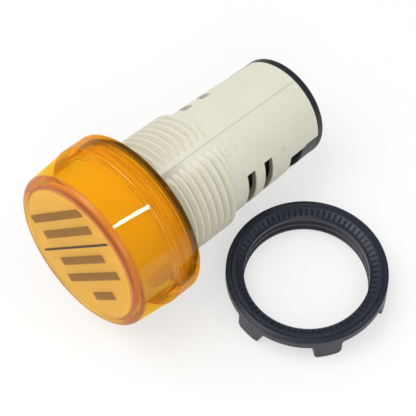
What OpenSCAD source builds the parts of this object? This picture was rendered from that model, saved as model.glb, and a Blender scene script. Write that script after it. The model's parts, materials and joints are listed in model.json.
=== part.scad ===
// Panel indicator light with its lock nut, lying on a flat surface with the nut beside it.
// The frame's origin is the centre of the panel plane, where the gasket meets the panel.
// Lengths are in millimetres.
// In the lamp's own frame +Z runs along the axis to the front and z = 0 is the panel plane.

/* [Lens] */
// Largest radius of the lens, at its rear skirt
lens_r = 15.1; // [13.5:0.1:17]
// Length of the lens along the axis
lens_len = 12.7; // [11.5:0.1:15]
// Step from the skirt in to the front cup
cup_step = 0.1; // [0.05:0.05:0.5]
// How much the cup narrows from the skirt to its front edge
cup_draft = 0.75; // [0.2:0.05:1]
// Radius of the rounded front edge
lens_edge_r = 1.4; // [0.6:0.1:2]
// Length of the skirt that grips the head of the housing
skirt_len = 4.6; // [4.2:0.1:5.4]
// Wall of the skirt round the head of the housing
skirt_wall = 1.6; // [1.3:0.05:2]
// Wall of the cup round its hollow
cup_wall = 1.4; // [1:0.1:2]
// Wall of the cup's flat front
front_wall = 1.1; // [0.8:0.1:2]
// Chamfer on the rear edge of the skirt
skirt_chamfer = 0.25; // [0.1:0.05:0.5]
// Bare margin between the protective film and the rounded front edge
film_margin = 1.25; // [0.1:0.05:3]
// Thickness of the protective film
film_t = 0.12; // [0.08:0.01:0.3]

/* [Panel seat] */
// Thickness of the gasket
gasket_t = 0.9; // [0.7:0.05:1.2]
// Lip of the skirt round the gasket
gasket_lip = 0.8; // [0.6:0.05:1]
// How far the gasket stands out behind the lens
gasket_proud = 0.1; // [0.05:0.05:0.3]

/* [Housing] */
// Height of the head that the lens snaps over
head_h = 3.8; // [3.4:0.1:4.2]
// Wall of the head round the recess for the round board
head_wall = 2.8; // [2:0.1:3.2]
// Height of each snap rib round the head
rib_h = 0.2; // [0.1:0.05:0.3]
// Half the width of a snap rib along the axis
rib_w = 0.5; // [0.3:0.05:0.6]
// Distance of the first snap rib from the gasket
rib_start = 0.9; // [0.7:0.1:1.1]
// Distance between the snap ribs
rib_pitch = 1.5; // [1.3:0.1:1.6]
// Crest radius of the neck thread
thread_crest_r = 11; // [10.8:0.05:11.2]
// Root radius of the neck thread
thread_root_r = 10.05; // [9.95:0.05:10.2]
// Thread pitch
thread_pitch = 1.5; // [1:0.25:2]
// Length of the threaded neck behind the panel plane
thread_len = 14.4; // [11:0.1:15]
// Length of the plain pilot that centres the neck in the panel hole
pilot_len = 0.8; // [0.4:0.1:1.2]
// Width of each strip without thread along the parting line, in degrees
strip_angle = 17; // [8:1:24]
// Radius of the plain body next to the thread
body_r = 10.03; // [9.95:0.01:10.05]
// Radius of the body at its tail
tail_r = 9.62; // [9.3:0.02:9.9]
// Distance from the panel plane to the tail edge of the housing
housing_len = 35.2; // [34.6:0.1:38]
// Bore of the housing
bore_r = 8.9; // [8.6:0.05:9]
// Angle of the parting line from straight up
body_turn = 14; // [-30:1:40]
// Distance from the end of the thread to the first vent slot
slot_gap = 2.4; // [1:0.1:3]
// Width of a vent slot along the axis
slot_w = 2; // [1.2:0.1:2.4]
// Distance between the vent slots
slot_pitch = 4.25; // [3.6:0.05:4.6]
// Length of a vent slot round the body, in degrees
slot_angle = 78; // [40:1:84]
// Length of the wire notch from the tail edge
notch_len = 7.4; // [7:0.1:8]
// Open length of the wire notch
entry_len = 3; // [2.6:0.1:3.2]
// Width of the wire notch, in degrees
notch_angle = 39; // [30:0.5:41]
// Length of the wider stretch of the notch at the tail
key_len = 3.4; // [2:0.1:3.8]
// Width of that wider stretch, in degrees
key_angle = 42; // [42:0.5:48]

/* [Terminals] */
// Thickness of the base's rim behind the housing
rim_t = 1.3; // [0.6:0.02:1.6]
// How far the base's keys lie below the face of the housing
key_sink = 0.05; // [0.03:0.01:0.3]
// Chamfer on the rim
rim_chamfer = 0.3; // [0.1:0.05:0.4]
// Distance of each terminal screw from the axis
screw_x = 4.35; // [4.2:0.05:4.5]
// Radius of the screw thread
screw_r = 1.25; // [1:0.05:1.3]
// Radius of the screw head
screw_head_r = 2.1; // [1.9:0.05:2.2]
// Height of the screw head
screw_head_h = 1.6; // [1.2:0.1:1.6]
// Thickness of the clamp plate
plate_t = 0.8; // [0.6:0.05:1]
// Side of the square clamp plate
plate_w = 4.9; // [4.4:0.05:4.95]
// Thickness of the contact bar under the clamp
bar_t = 1; // [0.8:0.05:1.2]
// How far the screw's tip stands past the contact bar
screw_tip = 0.6; // [0.3:0.1:1]
// Radius of the screwdriver wells in the base
well_r = 1.75; // [1.4:0.05:1.8]

/* [Circuit] */
// Thickness of both circuit boards
board_t = 1; // [0.8:0.1:1.2]
// Width of the driver board
driver_w = 13; // [11:0.1:14]
// Length of the driver board
driver_len = 18; // [17:0.1:20]
// Depth of the recess for the round board in the head
recess_depth = 2.7; // [2.2:0.1:3]
// Side of a light chip
led_w = 3; // [2:0.1:3.5]
// Height of a light chip
led_h = 0.9; // [0.6:0.1:1.4]
// Distance of the light chips from the axis
led_ring_r = 4.2; // [3.4:0.1:5]
// Gap between neighbouring components on the driver board
part_gap = 1; // [0.6:0.1:1.4]
// Width of the bridge rectifier
rectifier_w = 6.4; // [5:0.1:8]
// Length of the bridge rectifier along the board
rectifier_len = 4.8; // [4:0.1:5.5]
// Thickness of the bridge rectifier
rectifier_t = 2.4; // [1.6:0.1:3]
// Radius of a resistor's end caps
resistor_r = 1.15; // [0.8:0.05:1.3]
// Length of a resistor
resistor_len = 6.2; // [5:0.1:8]
// Width of the capacitor
capacitor_w = 9.2; // [7:0.1:10]
// Length of the capacitor along the board
capacitor_len = 9; // [7:0.1:12]
// Thickness of the capacitor
capacitor_t = 4.2; // [3:0.1:4.6]
// Thickness of a terminal's soldered leg
leg_t = 0.6; // [0.4:0.05:0.8]
// Width of a terminal's soldered leg
leg_w = 3; // [2:0.1:4]
// Length of a leg's soldered pad on the driver board
pad_len = 2.4; // [1.6:0.1:3]

/* [Lock nut] */
// Outer radius of the nut at the front edge of its wall
nut_r = 13.8; // [13.6:0.02:14.4]
// Growth of that radius down to the foot of the lugs
nut_draft = 0.25; // [0:0.05:0.4]
// Radius where the bevel of the front edge starts
nut_flat_r = 13.1; // [12.7:0.02:13.3]
// Depth of the bevel
nut_bevel = 0.3; // [0.2:0.05:0.6]
// Thickness of the flange, from the front face to the underside
nut_flange_t = 1.9; // [1.3:0.05:2.4]
// Overall height of the nut
nut_h = 5.4; // [4.6:0.1:6.5]
// Wall radius of the threaded hole
nut_bore_r = 10.7; // [10.3:0.05:10.8]
// Radius of the hole at its chamfered mouth
nut_mouth_r = 11.1; // [10.9:0.05:11.3]
// Outer radius of the collar under the flange
nut_collar_r = 12.4; // [12:0.05:12.8]
// Height of the lugs' feet below the collar
nut_foot = 0.2; // [0.1:0.05:0.5]
// Height of the chamfer at the collar's foot
nut_foot_h = 1.2; // [0.6:0.1:1.6]
// Width of that chamfer
nut_foot_w = 0.7; // [0.4:0.05:0.8]
// Width of a wrench lug
lug_w = 4.9; // [4:0.1:6]
// Radius of a lug's lower corners
lug_corner_r = 1.2; // [0.6:0.1:1.6]
// Fillet between a lug and the underside of the flange
lug_fillet_r = 0.6; // [0.3:0.1:1]
// Number of locking teeth on the face
tooth_count = 72; // [48:4:80]
// Outer radius of the ring of teeth
tooth_out_r = 12.2; // [11.9:0.05:12.4]
// Depth of the grooves between the teeth
tooth_depth = 0.35; // [0.2:0.05:0.4]
// Place of the nut beside the lamp, to the right
nut_x = 24.3; // [22:0.1:60]
// Place of the nut behind the panel plane
nut_y = 16; // [6:0.5:30]
// Turn of the nut, to the middle of its first lug
nut_turn = 26; // [0:1:59]

/* [Hidden] */
$fn = 96;

// Cutters run past the surface that they open by this much
over = 0.5;
// Gap of a snug fit, of a loose fit and of a running screw
snug = 0.1;
loose = 0.2;
running = 0.05;
arc_steps = 8;
// Small chamfer where the cup steps out to the skirt
step_chamfer = 0.1;
// Gap beside a key in its notch, in degrees
key_gap = 1;

// Heights along the lamp's axis
lens_rear_z = gasket_proud;
lens_front_z = lens_rear_z + lens_len;
skirt_z = lens_rear_z + skirt_len;
head_z = gasket_t + head_h;
board_z = head_z - recess_depth;
tail_z = -housing_len;
end_z = tail_z - rim_t;
entry_z = tail_z + notch_len;
tongue_z = entry_z - entry_len;
key_z = tail_z + key_len;

// Radii that follow from a wall or a fit
cup_rear_r = lens_r - cup_step;
cup_front_r = cup_rear_r - cup_draft;
film_r = cup_front_r - lens_edge_r - film_margin;
gasket_seat_r = lens_r - gasket_lip;
gasket_r = gasket_seat_r - snug;
skirt_in_r = lens_r - skirt_wall;
head_r = skirt_in_r - snug;
gasket_in_r = thread_crest_r + loose;
recess_r = head_r - head_wall;
led_board_r = recess_r - snug;
base_r = bore_r - snug;
cup_in_r = cup_front_r - cup_wall;
rib_zs = [for (i = [0, 1]) gasket_t + rib_start + i * rib_pitch];

// Terminal stack, from the contact bar to the screw head
bar_z = entry_z;
base_front_z = bar_z + bar_t;
plate_gap = entry_len - loose;
plate_z = bar_z - plate_gap;
head_seat_z = plate_z - plate_t - running;
pocket_end_z = head_seat_z - screw_head_h - loose;
pocket_w = plate_w + 2 * loose;
pocket_x = screw_x - pocket_w / 2;

// The lamp lies on the rear edge of its lens and on the rim of its base
lens_touch_z = lens_rear_z + skirt_chamfer;
rim_touch_z = end_z + rim_chamfer;
tilt = atan((lens_r - tail_r) / (lens_touch_z - rim_touch_z));
floor_z = lens_touch_z * sin(tilt) - lens_r * cos(tilt);

// Points of an arc round a centre, from one angle to another
function arc(c, r, a0, a1) =
    [for (i = [0 : arc_steps]) let (a = a0 + (a1 - a0) * i / arc_steps) c + r * [cos(a), sin(a)]];

// Radius of the nut's wall at a height above its feet
function nut_r_at(z) = nut_r + nut_draft * (1 - z / (nut_h - nut_bevel));

// Radius of the plain body at a height along the axis
function body_r_at(z) = body_r + (tail_r - body_r) * (-thread_len - z) / (housing_len - thread_len);

// Puts a piece from the lamp's own frame into the lying pose
module lying() {
    rotate([90 - tilt, 0, 0]) children();
}

// The same, with +Y on the parting line and +X through a wire notch
module lying_body() {
    lying() rotate(-body_turn) children();
}

// A ring sector that is centred on +X and runs between two heights
module sector(angle, r0, r1, z0, z1) {
    rotate(-angle / 2) rotate_extrude(angle = angle) translate([r0, z0]) square([r1 - r0, z1 - z0]);
}

// Copies a child onto both sides of the body
module both_sides() {
    for (turn = [0, 180]) rotate(turn) children();
}

module lens() {
    edge = [cup_front_r - lens_edge_r, lens_front_z - lens_edge_r];
    inner_edge_r = lens_edge_r / 2;
    ceiling_z = lens_front_z - front_wall;
    inner_edge = [cup_in_r - inner_edge_r, ceiling_z - inner_edge_r];
    outline = concat(
        [[0, ceiling_z], [0, lens_front_z]],
        arc(edge, lens_edge_r, 90, 0),
        [[cup_rear_r, skirt_z], [lens_r, skirt_z - step_chamfer],
         [lens_r, lens_touch_z], [lens_r - skirt_chamfer, lens_rear_z],
         [gasket_seat_r, lens_rear_z], [gasket_seat_r, gasket_t], [skirt_in_r, gasket_t],
         [skirt_in_r, head_z], [cup_in_r, head_z]],
        arc(inner_edge, inner_edge_r, 0, 90));
    color("orange") lying() difference() {
        rotate_extrude() polygon(outline);
        for (z = rib_zs) snap_ring(z, head_r, rib_h + snug, rib_w + snug);
    }
}

// A half-round ridge, or the groove that takes it
module snap_ring(z, r, h, w) {
    rotate_extrude() polygon([[r - over, z - w], [r, z - w], [r + h, z - w / 3],
                              [r + h, z + w / 3], [r, z + w], [r - over, z + w]]);
}

module protective_film() {
    color("moccasin") lying() translate([0, 0, lens_front_z]) cylinder(r = film_r, h = film_t);
}

module panel_gasket() {
    color("#1c1c1c") lying() difference() {
        cylinder(r = gasket_r, h = gasket_t);
        translate([0, 0, -over]) cylinder(r = gasket_in_r, h = gasket_t + 2 * over);
    }
}

// One turn of the neck thread, left out along the two parting strips
module thread_turn(z) {
    crest_w = thread_pitch / 6;
    root_w = thread_pitch / 2.2;
    sunk = 0.1;
    foot_w = root_w + sunk * (root_w - crest_w) / (thread_crest_r - thread_root_r);
    for (side = [0, 180]) rotate(side - 90 + strip_angle / 2) rotate_extrude(angle = 180 - strip_angle)
        polygon([[thread_root_r - sunk, z - foot_w], [thread_crest_r, z - crest_w],
                 [thread_crest_r, z + crest_w], [thread_root_r - sunk, z + foot_w]]);
}

module housing() {
    turns = floor((thread_len - pilot_len) / thread_pitch);
    shell = [[0, tail_z], [tail_r, tail_z], [body_r, -thread_len], [thread_root_r, -thread_len],
             [thread_root_r, gasket_t], [head_r, gasket_t], [head_r, head_z], [0, head_z]];
    color("#dcd9c6") lying_body() difference() {
        union() {
            rotate_extrude() polygon(shell);
            translate([0, 0, -pilot_len]) cylinder(r = thread_crest_r, h = pilot_len);
            for (i = [1 : turns]) thread_turn(-pilot_len - (i - 0.5) * thread_pitch);
            for (z = rib_zs) snap_ring(z, head_r, rib_h, rib_w);
        }
        translate([0, 0, tail_z - over]) cylinder(r = bore_r, h = housing_len + head_z);
        translate([0, 0, board_z]) cylinder(r = recess_r, h = recess_depth + over);
        both_sides() {
            for (i = [0, 1]) let (z = -thread_len - slot_gap - i * slot_pitch)
                sector(slot_angle, bore_r - over, thread_crest_r, z - slot_w, z);
            sector(notch_angle, bore_r - over, thread_crest_r, tail_z - over, entry_z);
            sector(key_angle, bore_r - over, thread_crest_r, tail_z - over, key_z);
        }
    }
}

module led_board() {
    color("whitesmoke") lying_body() translate([0, 0, board_z]) cylinder(r = led_board_r, h = board_t);
}

module led(index) {
    color("gold") lying_body() rotate(index * 90 - 45) translate([led_ring_r, 0, board_z + board_t])
        difference() {
            translate([-led_w / 2, -led_w / 2, 0]) cube([led_w, led_w, led_h]);
            translate([0, 0, led_h / 2]) cylinder(r1 = led_w / 3, r2 = led_w / 2.4, h = led_h);
        }
}

module driver_board() {
    color("seagreen") lying_body()
        translate([-board_t / 2, -driver_w / 2, board_z - driver_len]) cube([board_t, driver_w, driver_len]);
}

module bridge_rectifier() {
    color("#222222") lying_body()
        translate([board_t / 2, -rectifier_w / 2, board_z - part_gap - rectifier_len])
            cube([rectifier_t, rectifier_w, rectifier_len]);
}

module resistor(index) {
    cap_len = resistor_len / 5;
    z = board_z - rectifier_len - resistor_r - 2 * part_gap - (index - 1) * (2 * resistor_r + part_gap);
    color("lightsteelblue") lying_body()
        translate([board_t / 2 + resistor_r, -resistor_len / 2, z]) rotate([-90, 0, 0]) {
            cylinder(r = resistor_r * 0.9, h = resistor_len);
            for (y = [0, resistor_len - cap_len]) translate([0, 0, y]) cylinder(r = resistor_r, h = cap_len);
        }
}

module capacitor() {
    color("firebrick") lying_body()
        translate([-board_t / 2 - capacitor_t, -capacitor_w / 2, board_z - part_gap - capacitor_len])
            cube([capacitor_t, capacitor_w, capacitor_len]);
}

// Contact bar with its tapped hole, and the leg that is soldered to the driver board
module terminal_strip(side) {
    pad_z = board_z - driver_len;
    bar_w = pocket_w + loose;
    leg = [[pocket_x, bar_z], [pocket_x, pad_z], [board_t / 2, pad_z], [board_t / 2, pad_z + pad_len],
           [board_t / 2 + leg_t, pad_z + pad_len], [board_t / 2 + leg_t, pad_z + leg_t],
           [pocket_x + leg_t, pad_z + leg_t], [pocket_x + leg_t, bar_z]];
    color("goldenrod") lying_body() rotate(side) difference() {
        union() {
            translate([pocket_x, -bar_w / 2, bar_z]) cube([pocket_w, bar_w, bar_t]);
            rotate([90, 0, 0]) linear_extrude(leg_w, center = true) polygon(leg);
        }
        translate([screw_x, 0, bar_z - over]) cylinder(r = screw_r + running, h = bar_t + 2 * over);
    }
}

module clamp_plate(side) {
    color("silver") lying_body() rotate(side) translate([screw_x, 0, plate_z - plate_t]) difference() {
        translate([-plate_w / 2, -plate_w / 2, 0]) cube([plate_w, plate_w, plate_t]);
        translate([0, 0, -over]) cylinder(r = screw_r + loose, h = plate_t + 2 * over);
    }
}

module terminal_screw(side) {
    slot = [screw_head_r / 3.5, 2 * screw_head_r + 2 * over, screw_head_h / 2];
    shank = bar_z + bar_t + screw_tip - head_seat_z;
    color("lightgray") lying_body() rotate(side) translate([screw_x, 0, head_seat_z]) difference() {
        union() {
            cylinder(r = screw_r, h = shank);
            translate([0, 0, -screw_head_h]) cylinder(r = screw_head_r, h = screw_head_h);
        }
        translate([-slot.x / 2, -slot.y / 2, -screw_head_h - over]) cube(slot + [0, 0, over]);
    }
}

// Pocket for one clamp, its wire entry and the well for the screwdriver
module terminal_pocket() {
    bar_w = pocket_w + 2 * loose;
    translate([pocket_x - snug, -bar_w / 2, bar_z]) cube([pocket_w + loose, bar_w, bar_t + over]);
    translate([pocket_x, -pocket_w / 2, pocket_end_z])
        cube([pocket_w, pocket_w, bar_z - pocket_end_z + over]);
    sector(notch_angle, pocket_x + pocket_w - over, bore_r, tongue_z, entry_z);
    translate([screw_x, 0, end_z - over]) cylinder(r = well_r, h = pocket_end_z - end_z + 2 * over);
}

// Key that fills the wire notch behind the entry, just below the face of the body
module terminal_key() {
    foot_z = tail_z - rim_t / 2;
    top_z = tongue_z - snug;
    outline = [[base_r - over, foot_z], [tail_r - key_sink, foot_z], [tail_r - key_sink, tail_z],
               [body_r_at(top_z) - key_sink, top_z], [base_r - over, top_z]];
    intersection() {
        rotate(-key_angle / 2) rotate_extrude(angle = key_angle) polygon(outline);
        union() {
            sector(notch_angle - key_gap, base_r - 2 * over, lens_r, end_z, tongue_z + over);
            sector(key_angle - key_gap, base_r - 2 * over, lens_r, end_z, key_z - snug);
        }
    }
}

module terminal_base() {
    rim = [[0, end_z], [tail_r - rim_chamfer, end_z], [tail_r, rim_touch_z], [tail_r, tail_z],
           [base_r, tail_z], [base_r, base_front_z], [0, base_front_z]];
    color("#2b2d30") lying_body() difference() {
        union() {
            rotate_extrude() polygon(rim);
            both_sides() terminal_key();
        }
        both_sides() terminal_pocket();
    }
}

// A lug with rounded lower corners and filleted roots, cut to the nut's wall later
module nut_lug() {
    width = lug_w - 2 * lug_corner_r;
    flange_z = nut_h - nut_flange_t;
    reach = lug_fillet_r - running;
    depth = nut_r + nut_draft - nut_mouth_r;
    translate([nut_mouth_r + snug, 0, 0]) rotate([90, 0, 90]) linear_extrude(depth + over) {
        translate([-width / 2, -over]) square([width, flange_z + 3 * over]);
        translate([-lug_w / 2, lug_corner_r]) square([lug_w, flange_z + 2 * over - lug_corner_r]);
        for (x = [-1, 1]) {
            translate([x * width / 2, lug_corner_r]) circle(r = lug_corner_r);
            translate([x * lug_w / 2, flange_z]) scale([x, 1]) difference() {
                translate([-over, -lug_fillet_r]) square([lug_fillet_r + over, lug_fillet_r + 2 * over]);
                translate([reach, -reach]) circle(r = lug_fillet_r);
            }
        }
    }
}

module mounting_nut() {
    lug_count = 6;
    tooth_half_w = PI * nut_mouth_r / tooth_count * 0.7;
    mouth = nut_mouth_r - nut_bore_r;
    flange_z = nut_h - nut_flange_t;
    root_z = flange_z + over;
    ring = [[nut_bore_r, nut_foot + mouth], [nut_mouth_r, nut_foot], [nut_collar_r - nut_foot_w, nut_foot],
            [nut_collar_r, nut_foot + nut_foot_h], [nut_collar_r, flange_z], [nut_r_at(flange_z), flange_z],
            [nut_r, nut_h - nut_bevel], [nut_flat_r, nut_h], [nut_mouth_r, nut_h],
            [nut_bore_r, nut_h - mouth]];
    lugs = [[nut_mouth_r + loose, 0], [nut_r_at(0) - running, 0], [nut_r_at(root_z) - running, root_z],
            [nut_mouth_r + loose, root_z]];
    color("#23262c") translate([nut_x, nut_y, floor_z]) rotate(nut_turn) difference() {
        union() {
            rotate_extrude() polygon(ring);
            intersection() {
                rotate_extrude() polygon(lugs);
                for (i = [0 : lug_count - 1]) rotate(i * 360 / lug_count) nut_lug();
            }
        }
        for (i = [0 : tooth_count - 1]) rotate(i * 360 / tooth_count)
            translate([nut_mouth_r - over, 0, nut_h]) rotate([90, 0, 90])
                linear_extrude(tooth_out_r - nut_mouth_r + over)
                polygon([[-tooth_half_w, 0], [0, -tooth_depth], [tooth_half_w, 0]]);
    }
}

lens();
protective_film();
panel_gasket();
housing();
led_board();
led(1);  // led_1
led(2);  // led_2
led(3);  // led_3
led(4);  // led_4
driver_board();
bridge_rectifier();
resistor(1);  // resistor_1
resistor(2);  // resistor_2
capacitor();
terminal_strip(0);  // terminal_strip_a
terminal_strip(180);  // terminal_strip_b
clamp_plate(0);  // clamp_plate_a
clamp_plate(180);  // clamp_plate_b
terminal_screw(0);  // terminal_screw_a
terminal_screw(180);  // terminal_screw_b
terminal_base();
mounting_nut();
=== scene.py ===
import json
import math

import bpy
from mathutils import Matrix, Vector


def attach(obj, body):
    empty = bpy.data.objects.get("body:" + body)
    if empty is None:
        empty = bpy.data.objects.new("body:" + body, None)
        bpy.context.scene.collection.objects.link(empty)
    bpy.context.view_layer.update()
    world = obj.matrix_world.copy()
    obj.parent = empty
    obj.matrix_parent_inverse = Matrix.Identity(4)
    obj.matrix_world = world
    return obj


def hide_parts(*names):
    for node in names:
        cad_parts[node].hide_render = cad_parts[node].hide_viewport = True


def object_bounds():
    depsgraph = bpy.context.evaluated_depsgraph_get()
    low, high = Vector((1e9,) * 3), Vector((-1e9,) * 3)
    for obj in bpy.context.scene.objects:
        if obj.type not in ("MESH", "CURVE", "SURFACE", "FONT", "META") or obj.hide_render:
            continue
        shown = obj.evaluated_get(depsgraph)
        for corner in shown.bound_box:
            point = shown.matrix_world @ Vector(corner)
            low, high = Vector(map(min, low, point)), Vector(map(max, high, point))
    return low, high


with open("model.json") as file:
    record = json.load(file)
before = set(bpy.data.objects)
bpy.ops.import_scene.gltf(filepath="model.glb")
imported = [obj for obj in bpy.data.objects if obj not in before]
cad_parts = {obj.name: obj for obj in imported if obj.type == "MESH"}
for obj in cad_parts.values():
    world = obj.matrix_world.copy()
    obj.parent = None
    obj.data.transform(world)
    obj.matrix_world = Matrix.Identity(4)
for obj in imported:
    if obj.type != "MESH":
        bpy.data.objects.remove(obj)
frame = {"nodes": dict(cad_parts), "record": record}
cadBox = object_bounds()
mm = 0.001
print("stage: frame loaded,", len(frame["nodes"]), "solids")

# the lamp's pose comes from its mounts: the neck gives the tilt, a wire entry the turn of the body
mounts = {mount["name"]: mount for mount in frame["record"]["mounts"]}
tailAxis = Vector(mounts["threaded_neck"]["axis"])
tilt = math.asin(-tailAxis.z)
lampUp = Vector((0, math.sin(tilt), math.cos(tilt)))
bodyTurn = -math.asin(Vector(mounts["wire_entry_a"]["axis"]).dot(lampUp))
lying = Matrix.Rotation(math.pi / 2 - tilt, 4, "X")
lyingBody = lying @ Matrix.Rotation(-bodyTurn, 4, "Z")
floorZ = cadBox[0].z
nutHole = Vector(mounts["nut_thread"]["pos_m"])
nutFoot = Matrix.Translation((nutHole.x, nutHole.y, floorZ))


# modelling helpers: shapes are drawn in millimetres round the Z axis and placed at the end
meshDetail = {"arcSteps": 6, "cornerShare": 0.49, "roundSteps": 160, "sectorSteps": 24, "threadSteps": 120,
              "mergeWithin": 0.0005, "dissolveWithin": 0.0001, "sharpDegrees": 32}


def startClean():
    if bpy.context.object and bpy.context.object.mode != "OBJECT":
        bpy.ops.object.mode_set(mode="OBJECT")
    bpy.ops.object.select_all(action="DESELECT")


def pick(piece):
    startClean()
    piece.select_set(True)
    bpy.context.view_layer.objects.active = piece


def arcBetween(before, corner, after, radius):
    toBefore = (before - corner).normalized()
    toAfter = (after - corner).normalized()
    half = toBefore.angle(toAfter) / 2
    room = meshDetail["cornerShare"] * min((before - corner).length, (after - corner).length)
    reach = min(radius / math.tan(half), room)
    radius = reach * math.tan(half)
    centre = corner + (toBefore + toAfter).normalized() * radius / math.sin(half)
    start = corner + toBefore * reach - centre
    end = corner + toAfter * reach - centre
    sweep = math.pi - 2 * half
    if start.x * end.y - start.y * end.x < 0:
        sweep = -sweep
    points = []
    for i in range(meshDetail["arcSteps"] + 1):
        turn = sweep * i / meshDetail["arcSteps"]
        points.append(centre + Vector((start.x * math.cos(turn) - start.y * math.sin(turn),
                                       start.x * math.sin(turn) + start.y * math.cos(turn))))
    return points


def rounded(corners, closed=False):  # a corner with a third number is rounded by that radius
    flat = [Vector(corner[:2]) for corner in corners]
    count = len(flat)
    points = []
    for i, corner in enumerate(corners):
        ends = not closed and i in (0, count - 1)
        if ends or len(corner) < 3:
            points.append(flat[i])
        else:
            points += arcBetween(flat[i - 1], flat[i], flat[(i + 1) % count], corner[2])
    return points


def traceOutline(name, points):
    startClean()
    bpy.ops.mesh.primitive_plane_add(size=1)
    piece = bpy.context.object
    piece.name = name
    bpy.ops.object.mode_set(mode="EDIT")
    bpy.ops.mesh.select_mode(type="VERT")
    bpy.ops.mesh.select_all(action="SELECT")
    bpy.ops.mesh.merge(type="CENTER")
    bpy.ops.transform.translate(value=(points[0].x, 0, points[0].y))
    for here, there in zip(points, points[1:]):
        step = there - here
        bpy.ops.mesh.extrude_region_move(TRANSFORM_OT_translate={"value": (step.x, 0, step.y)})
    return piece


def tidyMesh():
    bpy.ops.mesh.select_all(action="SELECT")
    bpy.ops.mesh.remove_doubles(threshold=meshDetail["mergeWithin"])
    bpy.ops.mesh.dissolve_degenerate(threshold=meshDetail["dissolveWithin"])
    bpy.ops.mesh.select_all(action="SELECT")
    bpy.ops.mesh.normals_make_consistent(inside=False)
    bpy.ops.object.mode_set(mode="OBJECT")


def lathe(name, corners, closed=False):
    points = rounded(corners, closed)
    piece = traceOutline(name, points + points[:1] if closed else points)
    bpy.ops.mesh.select_all(action="SELECT")
    bpy.ops.mesh.spin(steps=meshDetail["roundSteps"], angle=2 * math.pi, center=(0, 0, 0), axis=(0, 0, 1))
    tidyMesh()
    return piece


def sector(name, corners, degrees, middle, steps=meshDetail["sectorSteps"]):
    piece = traceOutline(name, rounded(corners, closed=True))
    bpy.ops.mesh.select_all(action="SELECT")
    bpy.ops.mesh.edge_face_add()
    bpy.ops.mesh.spin(steps=steps, angle=math.radians(degrees), center=(0, 0, 0), axis=(0, 0, 1))
    tidyMesh()
    angles = [math.atan2(v.co.y, v.co.x) for v in piece.data.vertices]
    turnBy = math.radians(middle) - (min(angles) + max(angles)) / 2
    piece.rotation_euler.z = turnBy
    pick(piece)
    bpy.ops.object.transform_apply(location=True, rotation=True, scale=True)
    return piece


def block(name, size, centre):
    startClean()
    bpy.ops.mesh.primitive_cube_add(size=1, location=centre)
    piece = bpy.context.object
    piece.name = name
    piece.scale = size
    bpy.ops.object.transform_apply(location=True, rotation=True, scale=True)
    return piece


def applyModifiers(piece):
    pick(piece)
    for modifier in list(piece.modifiers):
        bpy.ops.object.modifier_apply(modifier=modifier.name)


def combine(piece, tool, how):
    modifier = piece.modifiers.new(how.lower(), "BOOLEAN")
    modifier.operation = how
    modifier.solver = "EXACT"
    modifier.object = tool
    applyModifiers(piece)
    bpy.data.objects.remove(tool)


def ringOf(piece, count, start=0):
    copies = []
    for i in range(count):
        copy = piece.copy()
        copy.data = piece.data.copy()
        bpy.context.collection.objects.link(copy)
        copy.rotation_euler.z = math.radians(start) + 2 * math.pi * i / count
        copies.append(copy)
    bpy.data.objects.remove(piece)
    startClean()
    for copy in copies:
        copy.select_set(True)
    bpy.context.view_layer.objects.active = copies[0]
    bpy.ops.object.transform_apply(location=True, rotation=True, scale=True)
    bpy.ops.object.join()
    return bpy.context.object


def threadBar(name, corners, pitch, turns):
    points = rounded(corners, closed=True)
    piece = traceOutline(name, points + points[:1])
    tidyMesh()
    screw = piece.modifiers.new("screw", "SCREW")
    screw.axis = "Z"
    screw.angle = 2 * math.pi
    screw.screw_offset = pitch
    screw.iterations = turns
    screw.steps = screw.render_steps = meshDetail["threadSteps"]
    screw.use_merge_vertices = False
    applyModifiers(piece)
    bpy.ops.object.mode_set(mode="EDIT")
    bpy.ops.mesh.select_all(action="SELECT")
    bpy.ops.mesh.fill_holes(sides=0)
    tidyMesh()
    return piece


def smooth(value):
    value = min(max(value, 0), 1)
    return value * value * (3 - 2 * value)


def finishPiece(piece, matrix, node, body="lamp", sharp=meshDetail["sharpDegrees"]):
    pick(piece)
    piece.matrix_world = matrix @ Matrix.Scale(mm, 4)
    bpy.ops.object.transform_apply(location=True, rotation=True, scale=True)
    bpy.ops.object.shade_smooth_by_angle(angle=math.radians(sharp))
    even = piece.modifiers.new("even_normals", "WEIGHTED_NORMAL")  # flats stay flat beside small roundings
    even.keep_sharp = True
    applyModifiers(piece)
    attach(piece, body)
    if node:
        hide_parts(node)
    print("stage:", piece.name, "has", len(piece.data.polygons), "faces")
    return piece


# shader maths as expressions

class Wire:
    def __init__(self, tree, socket):
        self.tree = tree
        self.socket = socket

    def maths(self, operation, first, second=None):
        node = self.tree.nodes.new("ShaderNodeMath")
        node.operation = operation
        for inlet, value in zip(node.inputs, (first, second)):
            if isinstance(value, Wire):
                self.tree.links.new(value.socket, inlet)
            elif value is not None:
                inlet.default_value = value
        return Wire(self.tree, node.outputs[0])

    def __add__(self, other):
        return self.maths("ADD", self, other)

    def __radd__(self, other):
        return self.maths("ADD", other, self)

    def __sub__(self, other):
        return self.maths("SUBTRACT", self, other)

    def __rsub__(self, other):
        return self.maths("SUBTRACT", other, self)

    def __mul__(self, other):
        return self.maths("MULTIPLY", self, other)

    def __rmul__(self, other):
        return self.maths("MULTIPLY", other, self)

    def __pow__(self, other):
        return self.maths("POWER", self, other)

    def __lt__(self, other):
        return self.maths("LESS_THAN", self, other)

    def __gt__(self, other):
        return self.maths("GREATER_THAN", self, other)

    def __abs__(self):
        return self.maths("ABSOLUTE", self)


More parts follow.
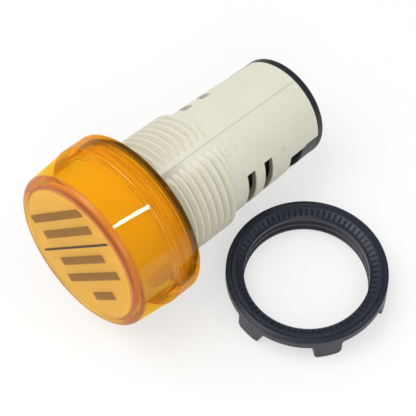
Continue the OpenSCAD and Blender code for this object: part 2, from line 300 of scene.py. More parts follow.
class Finish:
    def __init__(self, owner):
        self.owner = owner
        owner.use_nodes = True
        self.tree = owner.node_tree
        self.tree.nodes.clear()

    def node(self, kind, settings, inputs, outlet=0):
        node = self.tree.nodes.new("ShaderNode" + kind)
        for key, value in settings.items():
            setattr(node, key, value)
        for key, value in inputs.items():
            if isinstance(value, Wire):
                self.tree.links.new(value.socket, node.inputs[key])
            else:
                node.inputs[key].default_value = value
        return Wire(self.tree, node.outputs[outlet]) if len(node.outputs) else None

    def place(self):
        return self.node("TexCoord", {}, {}, outlet="Object")

    def axial(self, matrix):
        return self.node("Mapping", {"vector_type": "TEXTURE"}, {"Vector": self.place(),
                                                                 "Rotation": matrix.to_euler()})

    def axis(self, where, name):
        return self.node("SeparateXYZ", {}, {"Vector": where}, outlet=name)

    def noise(self, where, scale, detail, roughness=0.5):
        return self.node("TexNoise", {}, {"Vector": where, "Scale": scale, "Detail": detail,
                                          "Roughness": roughness})

    def ramp(self, value, low, high):
        return self.node("MapRange", {}, {"Value": value, "From Min": low, "From Max": high})

    def mix(self, factor, first, second):
        return self.node("Mix", {"data_type": "RGBA"}, {0: factor, 6: first, 7: second}, outlet=2)

    def bump(self, height, strength, distance):
        return self.node("Bump", {}, {"Height": height, "Strength": strength, "Distance": distance})

    def surface(self, **sockets):
        named = {key.replace("_", " "): value for key, value in sockets.items()}
        return self.node("BsdfPrincipled", {}, named)

    def sheer(self, colour):
        return self.node("BsdfTransparent", {}, {"Color": colour})

    def blend(self, factor, first, second):
        return self.node("MixShader", {}, {0: factor, 1: first, 2: second})

    def close(self, shader, kind="OutputMaterial", volume=None):
        self.node(kind, {}, {"Surface": shader, "Volume": volume} if volume else {"Surface": shader})
        return self.owner


def newFinish(name):
    return Finish(bpy.data.materials.new(name))


def rgb(red, green, blue):  # screen values from 0 to 255, made linear
    def linear(value):
        value /= 255
        return value / 12.92 if value <= 0.04045 else ((value + 0.055) / 1.055) ** 2.4
    return (linear(red), linear(green), linear(blue), 1)


def wear(piece, material):
    piece.data.materials.clear()
    piece.data.materials.append(material)


# housing
housingShape = {
    "bore": 8.9, "tailRadius": 9.62, "bodyRadius": 10.03, "rootRadius": 10.05, "crestRadius": 11.0,
    "tail": -35.2, "neckEnd": -14.4, "seat": 0.9, "headRadius": 13.4, "headFront": 4.7,
    "recessRadius": 10.6, "recessFloor": 2.0, "pilot": 0.8, "pilotFront": 0.1, "pilotFlank": 0.05,
    "fineEdge": 0.1, "crestEdge": 0.12, "boreEdge": 0.15, "headEdge": 0.2, "tailEdge": 0.25,
    "pitch": 1.5, "crestPhase": -1.974, "turns": 9, "threadSink": 0.25, "threadBury": 0.1,
    "threadFoot": 0.78, "threadLand": 0.2, "stripDegrees": 17, "fadeDegrees": 16, "runOut": 0.4,
    "slotCount": 2, "slotStart": -16.8, "slotWidth": 2.0, "slotPitch": 4.25, "slotDegrees": 78,
    "notchStart": -27.8, "notchDegrees": 39, "keyStart": -31.8, "keyDegrees": 42, "farDegrees": 6,
    "cutInner": 7.5, "cutOuter": 11.5, "cutPast": 1.0,
    "seamInner": 9.0, "seamHeight": 0.05, "seamDegrees": 1.2, "seamSteps": 2, "seamFront": -1.0,
    "seamInset": 0.2,
}


def wallDraft():
    s = housingShape
    return (s["bodyRadius"] - s["tailRadius"]) / (s["neckEnd"] - s["tail"])


def fadeThread(piece, sunk, start):  # the thread sinks away along the parting line and at its first turn
    s = housingShape
    for vertex in piece.data.vertices:
        radius = math.hypot(vertex.co.x, vertex.co.y)
        around = math.atan2(vertex.co.y, vertex.co.x)
        off = abs(abs(math.degrees(around)) - 90)
        keep = smooth((off - s["stripDegrees"] / 2 + s["fadeDegrees"] / 2) / s["fadeDegrees"])
        share = (around / (2 * math.pi)) % 1
        turn = round((vertex.co.z - start) / s["pitch"] - share) + share
        keep *= smooth(turn / s["runOut"])
        if radius > sunk:
            scale = (sunk + (radius - sunk) * keep) / radius
            vertex.co.x *= scale
            vertex.co.y *= scale


def cutWall(piece, rear, front, degrees, middle):
    inner, outer = housingShape["cutInner"], housingShape["cutOuter"]
    cutter = sector("wall_cutter", [(inner, rear), (outer, rear), (outer, front), (inner, front)],
                    degrees, middle)
    combine(piece, cutter, "DIFFERENCE")


def makeHousing():
    s = housingShape
    fine, flank = s["fineEdge"], s["pilotFlank"]
    piece = lathe("housing_shell", [
        (s["bore"], s["tail"], s["boreEdge"]), (s["tailRadius"], s["tail"], s["tailEdge"]),
        (s["bodyRadius"], s["neckEnd"]), (s["rootRadius"], -s["pilot"] - flank, fine),
        (s["crestRadius"], -s["pilot"], s["crestEdge"]), (s["crestRadius"], s["pilotFront"], fine),
        (s["rootRadius"], s["pilotFront"] + flank), (s["rootRadius"], s["seat"]),
        (s["headRadius"], s["seat"], fine), (s["headRadius"], s["headFront"], s["headEdge"]),
        (s["recessRadius"], s["headFront"], s["headEdge"]), (s["recessRadius"], s["recessFloor"]),
        (s["bore"], s["recessFloor"])], closed=True)
    sunk = s["rootRadius"] - s["threadSink"]
    start = s["crestPhase"] - s["pitch"] * (s["turns"] - 1)
    buried, foot, land = sunk - s["threadBury"], s["threadFoot"], s["threadLand"]
    bar = threadBar("neck_thread", [
        (buried, start - foot), (s["crestRadius"], start - land, s["crestEdge"]),
        (s["crestRadius"], start + land, s["crestEdge"]), (buried, start + foot)], s["pitch"], s["turns"])
    fadeThread(bar, sunk, start)
    combine(piece, bar, "UNION")
    proud, rear = s["seamHeight"], s["tail"] + s["seamInset"]
    for side in (90, -90):  # the mould's parting line
        seam = sector("parting_seam", [
            (s["seamInner"], rear), (s["tailRadius"] + proud, rear),
            (s["bodyRadius"] + proud, s["neckEnd"]), (s["rootRadius"] + proud, s["seamFront"]),
            (s["seamInner"], s["seamFront"])], s["seamDegrees"], side, s["seamSteps"])
        combine(piece, seam, "UNION")
    for side, extra in ((0, 0), (180, s["farDegrees"])):  # the far notch reaches further up
        for i in range(s["slotCount"]):
            top = s["slotStart"] - i * s["slotPitch"]
            cutWall(piece, top - s["slotWidth"], top, s["slotDegrees"], side)
        for top, degrees in ((s["notchStart"], s["notchDegrees"]), (s["keyStart"], s["keyDegrees"])):
            cutWall(piece, s["tail"] - s["cutPast"], top, degrees + extra, side - extra / 2)
    return finishPiece(piece, lyingBody, "housing")


housing = makeHousing()


# lens
lensShape = {
    "front": 12.8, "cupFront": 14.08, "cupRear": 14.97, "frontEdge": 1.4, "skirtRadius": 15.09,
    "skirtFront": 4.7, "stepUp": 0.12, "stepDown": 0.05, "stepEdge": 0.08, "fineEdge": 0.1,
    "rear": 0.1, "rearEdge": 0.25, "gasketRecess": 14.3, "gasketDepth": 0.9, "skirtBore": 13.5,
    "snapStarts": (1.3, 2.8), "snapDepth": 0.3, "snapLand": 0.4, "headFront": 4.7, "headEdge": 0.2,
    "cavity": 12.85, "ceiling": 11.7, "cavityEdge": 0.4, "sharpDegrees": 40,
}


def makeLens():
    s = lensShape
    fine, bore, deep = s["fineEdge"], s["skirtBore"], s["skirtBore"] + s["snapDepth"]
    grooves = []
    for start in s["snapStarts"]:  # two snap grooves, their flanks at 45 degrees
        low = start + s["snapDepth"]
        high = low + s["snapLand"]
        grooves += [(bore, start), (deep, low), (deep, high), (bore, high + s["snapDepth"])]
    piece = lathe("lens_cup", [
        (0, s["front"]), (s["cupFront"], s["front"], s["frontEdge"]),
        (s["cupRear"], s["skirtFront"] + s["stepUp"], s["stepEdge"]),
        (s["skirtRadius"], s["skirtFront"] - s["stepDown"], fine),
        (s["skirtRadius"], s["rear"], s["rearEdge"]), (s["gasketRecess"], s["rear"], fine),
        (s["gasketRecess"], s["gasketDepth"], fine), (bore, s["gasketDepth"], fine), *grooves,
        (bore, s["headFront"], fine), (s["cavity"], s["headFront"], s["headEdge"]),
        (s["cavity"], s["ceiling"], s["cavityEdge"]), (0, s["ceiling"])])
    return finishPiece(piece, lying, "lens", sharp=s["sharpDegrees"])


lens = makeLens()


# frosted lining of the cup, which hides what is inside
liningShape = {"gap": 0.02, "wall": 0.25, "footGap": 0.05}


def makeLining():
    s, t = lensShape, liningShape
    outer, top, foot = s["cavity"] - t["gap"], s["ceiling"] - t["gap"], s["headFront"] + t["footGap"]
    piece = lathe("lens_lining", [
        (0, top), (outer, top, s["cavityEdge"]), (outer, foot), (outer - t["wall"], foot),
        (outer - t["wall"], top - t["wall"], s["cavityEdge"] - t["wall"]), (0, top - t["wall"])])
    return finishPiece(piece, lying, None, sharp=s["sharpDegrees"])


lining = makeLining()


# protective film
filmShape = {"radius": 11.6, "thickness": 0.12, "lift": 0.002, "rearEdge": 0.02, "frontEdge": 0.05}


def makeFilm():
    s = filmShape
    rear, front = lensShape["front"] + s["lift"], lensShape["front"] + s["thickness"]
    piece = lathe("front_film", [(0, rear), (s["radius"], rear, s["rearEdge"]),
                                 (s["radius"], front, s["frontEdge"]), (0, front)])
    return finishPiece(piece, lying, "protective_film")


film = makeFilm()


# gasket
gasketShape = {"inner": 11.2, "outer": 14.2, "thickness": 0.9, "edge": 0.1, "rearEdge": 0.25}


def makeGasket():
    s = gasketShape
    edge, front = s["edge"], s["thickness"]
    piece = lathe("seat_gasket", [(s["inner"], 0, edge), (s["outer"], 0, s["rearEdge"]),
                                  (s["outer"], front, edge), (s["inner"], front, edge)], closed=True)
    return finishPiece(piece, lying, "panel_gasket")


gasket = makeGasket()


# insulating sleeve round the circuit, the dark that shows in the vent slots
sleeveShape = {"inner": 8.05, "outer": 8.3, "front": -12.0, "tail": -26.4, "edge": 0.1}


def makeSleeve():
    s = sleeveShape
    edge = s["edge"]
    piece = lathe("circuit_sleeve", [
        (s["inner"], s["tail"], edge), (s["outer"], s["tail"], edge), (s["outer"], s["front"], edge),
        (s["inner"], s["front"], edge)], closed=True)
    return finishPiece(piece, lyingBody, None)


sleeve = makeSleeve()


# terminal base
baseShape = {
    "plug": 8.8, "front": -26.8, "frontEdge": 0.2, "end": -36.5, "rimEdge": 0.35, "tailEdge": 0.06,
    "tongue": -30.9, "notchDegrees": 38, "keyStart": -31.9, "keyDegrees": 41, "keySink": 0.05,
    "keyInner": 7.4, "keyBury": 0.4, "keyEdge": 0.12,
    "screwAt": 4.35, "well": 1.75, "wellDepth": 6.0, "wellSides": 64,
    "pocketWidth": 5.3, "pocketEnd": -33.25, "pocketPast": 1.0,
    "bar": -27.8, "rebateLong": 0.3, "rebateWide": 0.4, "rebateHigh": 2.0,
    "entryFloor": -30.8, "entryDegrees": 39, "entryInner": 6.5, "entryOuter": 9.3,
}


def addKeys(piece, rim, tail):
    s = baseShape
    face, low = rim - s["keySink"], tail - s["keyBury"]
    for side, extra in ((0, 0), (180, housingShape["farDegrees"])):
        for top, degrees in ((s["tongue"], s["notchDegrees"]), (s["keyStart"], s["keyDegrees"])):
            key = sector("key", [
                (s["keyInner"], low), (face, low), (face, tail),
                (face + wallDraft() * (top - tail), top, s["keyEdge"]), (s["keyInner"], top)],
                degrees + extra, side - extra / 2)
            combine(piece, key, "UNION")


def makeBase():
    s = baseShape
    rim, tail = housingShape["tailRadius"], housingShape["tail"]
    piece = lathe("tail_base", [
        (0, s["end"]), (rim, s["end"], s["rimEdge"]), (rim, tail, s["tailEdge"]),
        (s["plug"], tail), (s["plug"], s["front"], s["frontEdge"]), (0, s["front"])])
    addKeys(piece, rim, tail)
    width, mouth = s["pocketWidth"], s["front"] + s["pocketPast"]
    pocketSize = (width, width, mouth - s["pocketEnd"])
    rebateSize = (width + s["rebateLong"], width + s["rebateWide"], s["rebateHigh"])
    for side, around in ((1, 0), (-1, 180)):
        x = side * s["screwAt"]
        combine(piece, block("pocket", pocketSize, (x, 0, (mouth + s["pocketEnd"]) / 2)), "DIFFERENCE")
        combine(piece, block("rebate", rebateSize, (x, 0, s["bar"] + s["rebateHigh"] / 2)), "DIFFERENCE")
        combine(piece, sector("entry", [
            (s["entryInner"], s["entryFloor"]), (s["entryOuter"], s["entryFloor"]),
            (s["entryOuter"], s["bar"]), (s["entryInner"], s["bar"])],
            s["entryDegrees"], around), "DIFFERENCE")
        startClean()
        bpy.ops.mesh.primitive_cylinder_add(vertices=s["wellSides"], radius=s["well"], depth=s["wellDepth"],
                                            location=(x, 0, s["end"]))
        combine(piece, bpy.context.object, "DIFFERENCE")
    return finishPiece(piece, lyingBody, "terminal_base")


base = makeBase()


# lock nut
nutShape = {
    "bore": 10.7, "mouth": 11.1, "foot": 0.2, "collar": 12.4, "collarFoot": 11.7, "chamfer": 1.2,
    "wall": 13.8, "wallFoot": 14.05, "flat": 13.1, "height": 5.4, "bevel": 0.3, "flangeThick": 1.9,
    "boreEdge": 0.05, "mouthEdge": 0.08, "footEdge": 0.1, "collarEdge": 0.2, "underEdge": 0.15,
    "wallEdge": 0.12, "lineAt": 12.87, "lineDepth": 0.12,
    "lugCount": 6, "turn": 27.4, "lugWidth": 4.75, "lugCorner": 1.2, "lugFillet": 0.6, "lugSink": 0.05,
    "lugFootEdge": 0.25, "lugWing": 1.4, "lugBury": 0.05, "lugRoot": 0.5, "lugCap": 0.3,
    "lugInset": 0.3, "lugDeep": 4.0,
    "teeth": 72, "teethOuter": 12.2, "teethSlope": 0.6, "toothDepth": 0.18, "toothShare": 0.75,
    "toothPast": 0.2, "toothTip": 0.02, "toothSlant": 0.25,
    "threadRoot": 11.35, "pitch": 1.5, "threadTurns": 4, "threadStart": -2.0, "threadPast": 0.3,
    "threadFoot": 0.7, "threadLand": 0.15, "threadEdge": 0.1,
}


def nutLugs(under):
    s = nutShape
    half, top, root = s["lugWidth"] / 2, under + s["lugBury"], under + s["lugBury"] + s["lugRoot"]
    wide = half + s["lugWing"]
    outline = rounded([(-wide, top), (-half, top, s["lugFillet"]), (-half, 0, s["lugCorner"]),
                       (half, 0, s["lugCorner"]), (half, top, s["lugFillet"]), (wide, top),
                       (wide, root), (-wide, root)], closed=True)
    lug = traceOutline("lug", outline)
    bpy.ops.mesh.select_all(action="SELECT")
    bpy.ops.mesh.edge_face_add()
    bpy.ops.mesh.extrude_region_move(TRANSFORM_OT_translate={"value": (0, s["lugDeep"], 0)})
    bpy.ops.mesh.select_all(action="SELECT")
    bpy.ops.transform.translate(value=(0, s["mouth"] + s["lugInset"], 0))
    tidyMesh()
    growth = (s["wallFoot"] - s["wall"]) / (s["height"] - s["bevel"])
    foot, cap = s["wallFoot"] - s["lugSink"], top + s["lugCap"]
    limit = lathe("lug_limit", [(0, 0), (foot, 0, s["lugFootEdge"]), (foot - growth * cap, cap), (0, cap)])
    combine(lug, limit, "INTERSECT")
    return ringOf(lug, s["lugCount"], start=-90)  # the lug is drawn on the Y axis, the ring starts on X


def nutGrooves(top):
    s = nutShape
    inner, outer = s["mouth"] - s["toothPast"], s["teethOuter"]
    middle = (inner + outer) / 2
    width = 2 * math.pi * outer / s["teeth"] * s["toothShare"]
    groove = block("tooth_groove", (outer - inner, width, 2 * s["toothDepth"]), (middle, 0, top))
    for vertex in groove.data.vertices:  # the lower edges close to a V that follows the sloping face
        if vertex.co.z < top:
            vertex.co.y *= s["toothTip"]
            if vertex.co.x > middle:
                vertex.co.x -= s["toothSlant"]
        vertex.co.z -= s["teethSlope"] * (outer - vertex.co.x) / (outer - s["mouth"])
    return ringOf(groove, s["teeth"])


def makeNut():
    s = nutShape
    top, foot, mouth = s["height"], s["foot"], s["mouth"] - s["bore"]
    under = top - s["flangeThick"]
    wallUnder = s["wall"] + (s["wallFoot"] - s["wall"]) * (1 - under / (top - s["bevel"]))
    line, teethFoot = s["lineDepth"], top - s["teethSlope"]
    piece = lathe("lock_nut", [
        (s["bore"], foot + mouth, s["boreEdge"]), (s["mouth"], foot, s["mouthEdge"]),
        (s["collarFoot"], foot, s["footEdge"]), (s["collar"], foot + s["chamfer"], s["collarEdge"]),
        (s["collar"], under, s["collarEdge"]), (wallUnder, under, s["underEdge"]),
        (s["wall"], top - s["bevel"], s["wallEdge"]), (s["flat"], top, s["mouthEdge"]),
        (s["lineAt"] + line, top), (s["lineAt"], top - line), (s["lineAt"] - line, top),
        (s["teethOuter"], top, s["boreEdge"]), (s["mouth"], teethFoot, s["mouthEdge"]),
        (s["bore"], teethFoot - mouth, s["boreEdge"])], closed=True)
    combine(piece, nutLugs(under), "UNION")
    combine(piece, nutGrooves(top), "DIFFERENCE")
    crest, low, wide, land = s["bore"] - s["threadPast"], s["threadStart"], s["threadFoot"], s["threadLand"]
    bar = threadBar("nut_thread_cutter", [
        (crest, low - wide), (s["threadRoot"], low - land, s["threadEdge"]),
        (s["threadRoot"], low + land, s["threadEdge"]), (crest, low + wide)], s["pitch"], s["threadTurns"])
    combine(piece, bar, "DIFFERENCE")
    return finishPiece(piece, nutFoot @ Matrix.Rotation(math.radians(s["turn"]), 4, "Z"), "mounting_nut")


nut = makeNut()


# finishes: a noise is given by scale, detail and sometimes roughness, a share is how strongly a mark covers
creamFinish = {
    "dark": rgb(214, 211, 192), "light": rgb(224, 222, 206), "blotch": (120, 4), "rough": 0.42,
    "roughSpread": 0.12, "grain": (2600, 2), "grainStrength": 0.08, "grainDepth": 0.00004,
    "dirt": (900, 5, 0.7), "dirtRange": (0.6, 0.7), "patches": (70, 2), "patchRange": (0.5, 0.62),
    "dirtColour": rgb(178, 172, 136), "dirtShare": 0.5,
    "stains": ((-16.2, 44, 0.55), (-19.9, 41.1, 0.45), (-26.0, 37.6, 0.8), (-29.4, 36.9, 0.25),
               (-14.8, 68.2, 0.35)),  # each: place along the axis, degrees round it, size
    "stainRadius": 9.9, "stainCore": 0.2, "dapple": (1500, 3), "dappleRange": (0.35, 0.6),
    "stainColour": rgb(176, 170, 112), "stainShare": 0.6,
    "seamWidth": 0.16, "seamCore": 0.08, "seamColour": rgb(172, 170, 152), "seamShare": 0.3,
    # the lip keys paint shade onto the cut faces of the near side's vent slots
    "lipShadeStart": 0.12, "lipShadeEnd": 0.3, "lipShadeColour": rgb(104, 98, 80), "lipShadeShare": 0.8,
}


def creamPlastic():
    f = newFinish("cream_plastic")
    s, c = housingShape, creamFinish
    where = f.place()
    blotch, grain, dapple = (f.noise(where, *c[key]) for key in ("blotch", "grain", "dapple"))
    dirt = f.ramp(f.noise(where, *c["dirt"]), *c["dirtRange"])
    dirt = dirt * f.ramp(f.noise(where, *c["patches"]), *c["patchRange"])
    colour = f.mix(blotch, c["dark"], c["light"])
    colour = f.mix(dirt * c["dirtShare"], colour, c["dirtColour"])
    for along, degrees, size in c["stains"]:
        spoke = Matrix.Rotation(math.radians(degrees), 4, "Z") @ Vector((c["stainRadius"], 0, along))
        away = f.node("VectorMath", {"operation": "DISTANCE"}, {0: where, 1: lyingBody @ spoke * mm},
                      outlet="Value")
        stain = f.ramp(away, size * mm, size * c["stainCore"] * mm) * f.ramp(dapple, *c["dappleRange"])
        colour = f.mix(stain * c["stainShare"], colour, c["stainColour"])
    inBody = f.axial(lyingBody)
    x, y, z = (f.axis(inBody, name) for name in "XYZ")
    seam = f.ramp(abs(x), c["seamWidth"] * mm, c["seamCore"] * mm)
    colour = f.mix(seam * c["seamShare"], colour, c["seamColour"])
    skin = s["bodyRadius"] * mm + (z - s["neckEnd"] * mm) * wallDraft()
    depth = skin - (x * x + y * y) ** 0.5
    lipShade = f.ramp(depth, c["lipShadeStart"] * mm, c["lipShadeEnd"] * mm) * (x > 0)  # painted shade on the cut faces of the near side's slots only
    colour = f.mix(lipShade * c["lipShadeShare"], colour, c["lipShadeColour"])
    return f.close(f.surface(Base_Color=colour, Roughness=c["rough"] + blotch * c["roughSpread"],
                             Normal=f.bump(grain, c["grainStrength"], c["grainDepth"])))


amberFinish = {
    "dye": (0.998, 0.85, 0.2, 1), "dyePerMetre": 150, "shadowTint": (0.97, 0.95, 0.6, 1),
    "cup": (0.985, 0.76, 0.012, 1), "skirt": (0.93, 0.64, 0.012, 1), "streak": (0.66, 0.28, 0.006, 1),
    "rough": 0.03, "refraction": 1.45, "specular": 0.1, "coat": 0.04,
    "rings": (2200, 3), "ringStretch": (0.04, 0.04, 1), "ringRange": (0.45, 0.62), "ringShare": 0.9,
    "frontBand": (0.08, 0.02), "browBand": (1.5, 1.0), "discBand": (12.4, 12.1), "veilBand": (0.9, 1.5),
    # the rim milk is painted shade, standing in for the refraction at the lens's front rounding
    "discMilk": rgb(250, 214, 70), "rimPaintedShade": (0.46, 0.1, 0.055, 1), "skirtMilk": (0.86, 0.37, 0.008, 1),
    "streakMilk": (0.58, 0.2, 0.004, 1), "milkRough": 0.5, "leastShare": 0.01, "discShare": 0.25,
    "rimPaintedShadeShare": 0.46, "veilShare": 0.3, "edgeBlend": 0.5, "edgeRange": (0.38, 0.55), "edgeShare": 0.92,
    "edgeVeil": 0.4, "cupSheer": (1, 0.84, 0.3, 1), "skirtSheer": (0.97, 0.62, 0.14, 1),
}


def amberClear():
    f = newFinish("amber_clear")
    s, a = lensShape, amberFinish
    where = f.axial(lying)
    x, y, along = (f.axis(where, name) for name in "XYZ")
    stretched = f.node("Mapping", {}, {"Vector": where, "Scale": a["ringStretch"]})
    streaks = f.ramp(f.noise(stretched, *a["rings"]), *a["ringRange"]) * a["ringShare"]
    front, brow = (f.ramp(along, *((s["front"] - back) * mm for back in a[band]))
                   for band in ("frontBand", "browBand"))
    disc = f.ramp(x * x + y * y, *((radius * mm) ** 2 for radius in a["discBand"]))
    onSkirt = along < s["skirtFront"] * mm
    veil = f.ramp(along, *(height * mm for height in a["veilBand"]))
    veil = onSkirt * veil  # it ends short of the rear edge, where the gasket still shows through
    tint = f.mix(onSkirt, a["cup"], f.mix(streaks, a["skirt"], a["streak"]))
    glass = f.surface(Base_Color=tint, Roughness=a["rough"], IOR=a["refraction"], Transmission_Weight=1.0,
                      Specular_IOR_Level=a["specular"], Coat_Weight=a["coat"])
    # painted shade: the front rounding takes a dark pink milk in place of the refraction at the lens edge
    milkAndRimShade = f.mix(disc, a["rimPaintedShade"], a["discMilk"])
    milkAndRimShade = f.mix(onSkirt, milkAndRimShade, f.mix(streaks, a["skirtMilk"], a["streakMilk"]))
    cloudAndRimShade = f.surface(Base_Color=milkAndRimShade, Roughness=a["milkRough"], Specular_IOR_Level=0.0)
    cloudyAndRimShaded = a["leastShare"] + front * disc * a["discShare"] + brow * (1 - disc) * a["rimPaintedShadeShare"]
    body = f.blend(cloudyAndRimShaded + veil * a["veilShare"], glass, cloudAndRimShade)
    facing = f.node("LayerWeight", {}, {"Blend": a["edgeBlend"]}, outlet="Facing")
    edge = f.ramp(facing, *a["edgeRange"]) * (1 - brow)
    sheer = f.blend(onSkirt, f.sheer(a["cupSheer"]), f.sheer(a["skirtSheer"]))
    body = f.blend(edge * (a["edgeShare"] - veil * a["edgeVeil"]), body, sheer)
    shadow = f.node("LightPath", {}, {}, outlet="Is Shadow Ray")
    dye = f.node("VolumeAbsorption", {}, {"Color": a["dye"], "Density": a["dyePerMetre"]})
    return f.close(f.blend(shadow, body, f.sheer(a["shadowTint"])), volume=dye)


frostFinish = {"haze": (260, 3), "wallDark": (0.63, 0.42, 0.002, 1), "wallLight": (0.67, 0.45, 0.003, 1),
               "front": (0.95, 0.66, 0.02, 1), "frontBand": (0.5, 0.2), "rough": 0.5}


def amberFrosted():
    f = newFinish("amber_frosted")
    c = frostFinish
    along = f.axis(f.axial(lying), "Z")
    front = f.ramp(along, *((lensShape["ceiling"] - back) * mm for back in c["frontBand"]))
    wall = f.mix(f.noise(f.place(), *c["haze"]), c["wallDark"], c["wallLight"])
    return f.close(f.surface(Base_Color=f.mix(front, wall, c["front"]), Roughness=c["rough"]))


# each bar of the print: its centre along, its place across, half its length
filmPrint = {
    "slant": 48, "barHeight": 1.5, "ruleHeight": 0.36, "rule": (1.2, 1.55, 11.4),
    "bars": ((0.4, 7.4, 8.6), (0.9, 4.3, 8.0), (0.6, -0.9, 7.2), (0.9, -4.1, 8.4), (0.9, -7.8, 3.3)),
    "haze": (200, 3), "dark": rgb(236, 184, 70), "light": rgb(244, 196, 84), "rough": 0.5, "cover": 0.03,
    "barInk": rgb(150, 104, 38), "barCover": 0.45, "ruleInk": rgb(62, 40, 16), "ruleCover": 0.8,
}


def filmMatte():
    f = newFinish("film_matte")
    p = filmPrint
    flat = f.axial(lying @ Matrix.Rotation(math.radians(p["slant"]), 4, "Z"))
    along, across = (f.axis(flat, name) for name in "XY")

    def bar(centre, middle, half, height):
        return (abs(along - centre * mm) < half * mm) * (abs(across - middle * mm) < height / 2 * mm)

    bars = sum(bar(*place, p["barHeight"]) for place in p["bars"])
    rule = bar(*p["rule"], p["ruleHeight"])
    colour = f.mix(f.noise(f.place(), *p["haze"]), p["dark"], p["light"])
    colour = f.mix(bars, colour, p["barInk"])
    colour = f.mix(rule, colour, p["ruleInk"])
    cover = p["cover"] + bars * p["barCover"] + rule * p["ruleCover"]
    return f.close(f.surface(Base_Color=colour, Roughness=p["rough"], Alpha=cover))


plasticGrain = {"blotch": (160, 4), "roughSpread": 0.1, "grain": (3200, 2), "grainStrength": 0.1,
                "grainDepth": 0.00003}
metalSmear = {"smear": (900, 3), "roughSpread": 0.15}


def plainPlastic(name, dark, light, rough):
    f = newFinish(name)
    g = plasticGrain
    where = f.place()
    blotch = f.noise(where, *g["blotch"])
    grain = f.noise(where, *g["grain"])
    return f.close(f.surface(Base_Color=f.mix(blotch, dark, light),
                             Roughness=rough + blotch * g["roughSpread"],
                             Normal=f.bump(grain, g["grainStrength"], g["grainDepth"])))


def plainMetal(name, colour, rough):
    f = newFinish(name)
    smear = f.noise(f.place(), *metalSmear["smear"])
    return f.close(f.surface(Base_Color=colour, Metallic=1.0,
                             Roughness=rough + smear * metalSmear["roughSpread"]))


wear(housing, creamPlastic())
wear(lens, amberClear())
wear(lining, amberFrosted())
wear(film, filmMatte())
wear(sleeve, plainPlastic("sleeve_black", rgb(20, 18, 16), rgb(28, 26, 23), 0.6))
wear(gasket, plainPlastic("gasket_rubber", rgb(38, 32, 26), rgb(48, 42, 35), 0.6))
wear(base, plainPlastic("black_plastic", rgb(26, 30, 34), rgb(36, 40, 45), 0.38))
wear(nut, plainPlastic("nut_plastic", rgb(25, 31, 43), rgb(33, 40, 54), 0.32))

# the solids that stay as they are, by how their names start, the longer of two like starts first
solidFinishes = {
    "led_board": plainPlastic("white_board", rgb(226, 226, 222), rgb(236, 236, 232), 0.45),
    "led": plainPlastic("chip_yellow", rgb(232, 200, 70), rgb(240, 214, 96), 0.35),
    "driver_board": plainPlastic("green_board", rgb(36, 96, 62), rgb(44, 110, 70), 0.4),
    "bridge_rectifier": plainPlastic("black_epoxy", rgb(28, 28, 28), rgb(38, 38, 38), 0.5),
    "resistor": plainPlastic("resistor_blue", rgb(120, 158, 186), rgb(136, 172, 198), 0.35),
    "capacitor": plainPlastic("red_epoxy", rgb(142, 44, 34), rgb(158, 54, 40), 0.3),
    "terminal_strip": plainMetal("strip_brass", rgb(204, 166, 92), 0.3),
    "clamp_plate": plainMetal("plate_steel", rgb(190, 190, 192), 0.35),
    "terminal_screw": plainMetal("screw_steel", rgb(198, 198, 200), 0.28),
}
for name, solid in frame["nodes"].items():
    for stem, finish in solidFinishes.items():
        if name.startswith(stem):
            wear(solid, finish)
            break
print("stage: finishes on")


# stage, light and camera
stageSetup = {"floorSize": 4.0, "paper": (0.9, 0.9, 0.9, 1), "mirroredPaper": (0.7, 0.7, 0.7, 1),
              "paperRough": 0.9, "floorGlow": 0.6, "mirroredGlow": 0.5, "white": (1, 1, 1, 1),
              "worldLight": 0.6, "worldGloss": 0.2, "lightAim": (0.008, 0.012, 0)}
startClean()
bpy.ops.mesh.primitive_plane_add(size=stageSetup["floorSize"], location=(0, 0, floorZ))
floor = bpy.context.object
floor.name = "studio_floor"


def lightPath(f):
    camera, through, glossy = (f.node("LightPath", {}, {}, outlet="Is %s Ray" % kind)
                               for kind in ("Camera", "Transmission", "Glossy"))
    return camera, through, glossy * (1 - through)


def floorWhite():
    f = newFinish("floor_white")
    s = stageSetup
    camera, through, mirrored = lightPath(f)
    paper = f.surface(Base_Color=f.mix(mirrored, s["paper"], s["mirroredPaper"]), Roughness=s["paperRough"])
    glow = f.node("Emission", {}, {"Color": s["white"], "Strength": 1.0})
    return f.close(f.blend(camera * s["floorGlow"] + through + mirrored * s["mirroredGlow"], paper, glow))


wear(floor, floorWhite())


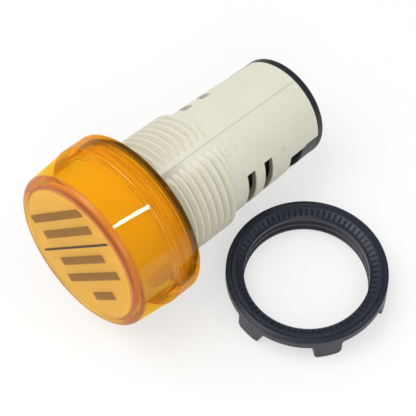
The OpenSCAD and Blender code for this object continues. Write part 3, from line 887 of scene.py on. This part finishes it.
def worldWhite():
    f = Finish(bpy.data.worlds.new("studio"))
    s = stageSetup
    camera, through, mirrored = lightPath(f)
    level = s["worldLight"] + (camera + through) * (1 - s["worldLight"])
    level = level - mirrored * (s["worldLight"] - s["worldGloss"])
    return f.close(f.node("Background", {}, {"Color": s["white"], "Strength": level}), "OutputWorld")


bpy.context.scene.world = worldWhite()

stageLights = {
    "key_light": {"place": (-0.15, -0.1, 0.4), "size": (0.35, 0.35), "power": 1.15},
    "fill_light": {"place": (0.35, -0.25, 0.3), "size": (0.3, 0.3), "power": 0.5},
    # the streak on the cup
    "window_light": {"place": (0.172, 0.121, 0.294), "size": (0.016, 0.066), "power": 0.075},
}


def softBox(name, place, size, power):
    startClean()
    bpy.ops.object.light_add(type="AREA", location=place)
    lamp = bpy.context.object
    lamp.name = name
    lamp.data.shape = "RECTANGLE"
    lamp.data.size, lamp.data.size_y = size
    lamp.data.energy = power
    toLamp = Vector(place) - Vector(stageSetup["lightAim"])
    lamp.rotation_euler = toLamp.to_track_quat("Z", "Y").to_euler()


for name, light in stageLights.items():
    softBox(name, **light)

cameraView = {"aim": (0.00127, 0.01542), "distance": 0.21613, "azimuth": 45.87, "elevation": 58.11,
              "roll": -1.74, "focalPixels": 1200, "framePixels": 416, "sensor": 36, "clipStart": 0.001}


def setCamera():
    c = cameraView
    azimuth, elevation = math.radians(c["azimuth"]), math.radians(c["elevation"])
    back = Vector((math.sin(azimuth) * math.cos(elevation), -math.cos(azimuth) * math.cos(elevation),
                   math.sin(elevation)))
    aim = Vector((*c["aim"], floorZ))
    bpy.ops.object.camera_add(location=aim + back * c["distance"])
    camera = bpy.context.object
    level = back.to_track_quat("Z", "Y").to_matrix().to_4x4()
    camera.rotation_euler = (level @ Matrix.Rotation(math.radians(c["roll"]), 4, "Z")).to_euler()
    camera.data.sensor_width = c["sensor"]
    camera.data.lens = c["sensor"] * c["focalPixels"] / c["framePixels"]
    camera.data.clip_start = c["clipStart"]
    bpy.context.scene.camera = camera


startClean()
setCamera()
bpy.context.scene.view_settings.view_transform = "Standard"
print("stage: light and camera set")
